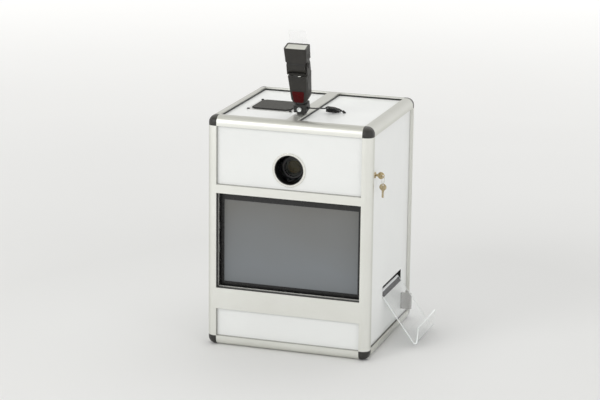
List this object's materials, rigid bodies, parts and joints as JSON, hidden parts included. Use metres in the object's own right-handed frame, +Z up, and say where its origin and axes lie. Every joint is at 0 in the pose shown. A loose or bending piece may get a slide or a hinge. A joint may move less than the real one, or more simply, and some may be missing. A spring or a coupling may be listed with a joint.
{
  "type": "photo booth",
  "caption": "Aluminium-profile photo booth cabinet with lens port, monitor, leaning flash, curly cord, side service door with print slot, tray and lock.",
  "frame": {"origin": "centre of the cabinet's footprint, on the floor", "axes": "+X to the door's side (right seen from the front), +Y to the rear, +Z up; the front face looks along -Y"},
  "size_m": [0.6897, 0.532, 1.0846],
  "materials": {
    "frame_aluminium": "satin anodised",
    "white_panel": "satin white laminate",
    "base_board": "matt",
    "black_cap": "fine grained",
    "black_rubber": "matt",
    "bezel_black": "semi-gloss",
    "screen": "anti-glare",
    "housing_black": "textured",
    "steel": "zinc plated",
    "port_ring": "turned",
    "lens_black": "satin",
    "lens_rubber": "ribbed",
    "lens_glass": "coated",
    "vent_metal": "brushed",
    "filter_black": "open mesh",
    "screw_black": "blackened",
    "fan_plastic": "moulded",
    "clear_acrylic": "polished edges",
    "smoked_acrylic": "polished",
    "lock_nickel": "nickel over brass",
    "key_brass": "polished",
    "ring_steel": "bright",
    "printer_shell": "textured",
    "paper": "photo paper",
    "roller_rubber": "ground",
    "rocker_plastic": "gloss",
    "shoe_black": "matt",
    "knob_silver": "turned",
    "flash_plastic": "fine grained",
    "flash_red": "tinted",
    "flash_window": "ribbed",
    "card_white": "translucent",
    "cord_black": "satin"
  },
  "bodies": {
    "root": {"base_panel": "base_board", "camera_body": "housing_black", "camera_shelf": "steel", "cord_gland": "black_rubber", "corner_caps": "black_cap", "corner_posts": "frame_aluminium", "door_pivot_pins": "steel", "door_stops": "steel", "fan_frame": "fan_plastic", "flash_body": "flash_plastic", "flash_cord": "cord_black", "flash_cord_coil": "cord_black", "flash_red_window": "flash_red", "frame_rails": "frame_aluminium", "front_crossbars": "frame_aluminium", "left_side_panel": "white_panel", "lens_barrel": "lens_black", "lens_front_glass": "lens_glass", "lens_ring": "port_ring", "lens_shroud": "housing_black", "lower_front_panel": "white_panel", "mini_pc": "housing_black", "monitor_bezel": "bezel_black", "monitor_crossbars": "steel", "monitor_housing": "housing_black", "monitor_screen": "screen", "panel_seals": "black_rubber", "power_inlet": "housing_black", "power_supply": "housing_black", "printer_chassis": "steel", "printer_cover": "printer_shell", "rear_panel": "white_panel", "screws": "screw_black", "shoe_block": "shoe_black", "shoe_foot": "shoe_black", "top_centre_bar": "frame_aluminium", "top_left_panel": "white_panel", "top_right_panel": "white_panel", "upper_front_panel": "white_panel", "vent_filter": "filter_black", "vent_plate": "vent_metal"},
    "door": {"door_panel": "white_panel", "slot_liner": "housing_black", "tray_rear_block": "smoked_acrylic", "lock_barrel": "lock_nickel"},
    "tray": {"print_tray": "clear_acrylic"},
    "lock": {"lock_plug": "lock_nickel", "door_key": "key_brass"},
    "ring": {"key_ring": "ring_steel"},
    "spare": {"spare_key": "key_brass"},
    "fan": {"fan_rotor": "fan_plastic"},
    "zoom": {"lens_zoom_ring": "lens_rubber"},
    "roll": {"media_roll": "paper"},
    "platen": {"platen_roller": "roller_rubber"},
    "rocker": {"rocker_switch": "rocker_plastic"},
    "knob": {"clamp_knob": "knob_silver"},
    "turret": {"flash_turret": "flash_plastic"},
    "head": {"flash_head": "flash_plastic", "flash_lens": "flash_window"},
    "card": {"bounce_card": "card_white"}
  },
  "joints": [
    {"name": "door_swing", "type": "hinge", "parent": "root", "child": "door", "pos_m": [0.272, 0.225, 0.4], "axis": [0, 0, 1], "range_deg": [0, 100]},
    {"name": "tray_pull", "type": "slide", "parent": "door", "child": "tray", "axis": [1, 0, 0], "range_m": [0, 0.03]},
    {"name": "lock_turn", "type": "hinge", "parent": "door", "child": "lock", "pos_m": [0.275, -0.19, 0.622], "axis": [1, 0, 0], "range_deg": [0, 90]},
    {"name": "key_ring_swing", "type": "hinge", "parent": "lock", "child": "ring", "pos_m": [0.3034, -0.19, 0.62045], "axis": [0, 1, 0], "range_deg": [-25, 10]},
    {"name": "spare_key_swing", "type": "hinge", "parent": "ring", "child": "spare", "pos_m": [0.3034, -0.19, 0.59245], "axis": [0, 1, 0], "range_deg": [-30, 12]},
    {"name": "fan_spin", "type": "hinge", "parent": "root", "child": "fan", "pos_m": [-0.1295, -0.008, 0.76], "axis": [0, 0, 1], "continuous": true},
    {"name": "zoom_turn", "type": "hinge", "parent": "root", "child": "zoom", "pos_m": [0, -0.16, 0.629], "axis": [0, 1, 0], "range_deg": [-35, 35]},
    {"name": "roll_spin", "type": "hinge", "parent": "root", "child": "roll", "pos_m": [0.02, 0.0445, 0.082], "axis": [0, 1, 0], "continuous": true},
    {"name": "platen_spin", "type": "hinge", "parent": "root", "child": "platen", "pos_m": [0.195, 0.0445, 0.165], "axis": [0, 1, 0], "continuous": true},
    {"name": "rocker_tilt", "type": "hinge", "parent": "root", "child": "rocker", "pos_m": [-0.19, 0.251, 0.135], "axis": [1, 0, 0], "range_deg": [0, 24]},
    {"name": "knob_turn", "type": "hinge", "parent": "root", "child": "knob", "pos_m": [0, -0.15087, 0.81383], "axis": [0, 0.9659, 0.2588], "range_deg": [-170, 170]},
    {"name": "flash_swivel", "type": "hinge", "parent": "root", "child": "turret", "pos_m": [0, -0.16042, 0.93447], "axis": [0, -0.2588, 0.9659], "range_deg": [-90, 180]},
    {"name": "flash_tilt", "type": "hinge", "parent": "turret", "child": "head", "pos_m": [0, -0.16922, 0.96731], "axis": [1, 0, 0], "range_deg": [0, 90]},
    {"name": "card_slide", "type": "slide", "parent": "head", "child": "card", "axis": [0, -0.2588, 0.9659], "range_m": [-0.046, 0]}
  ],
  "couplings": [
    {"joint": "platen_spin", "follows": "roll_spin", "ratio": 5.2}
  ]
}
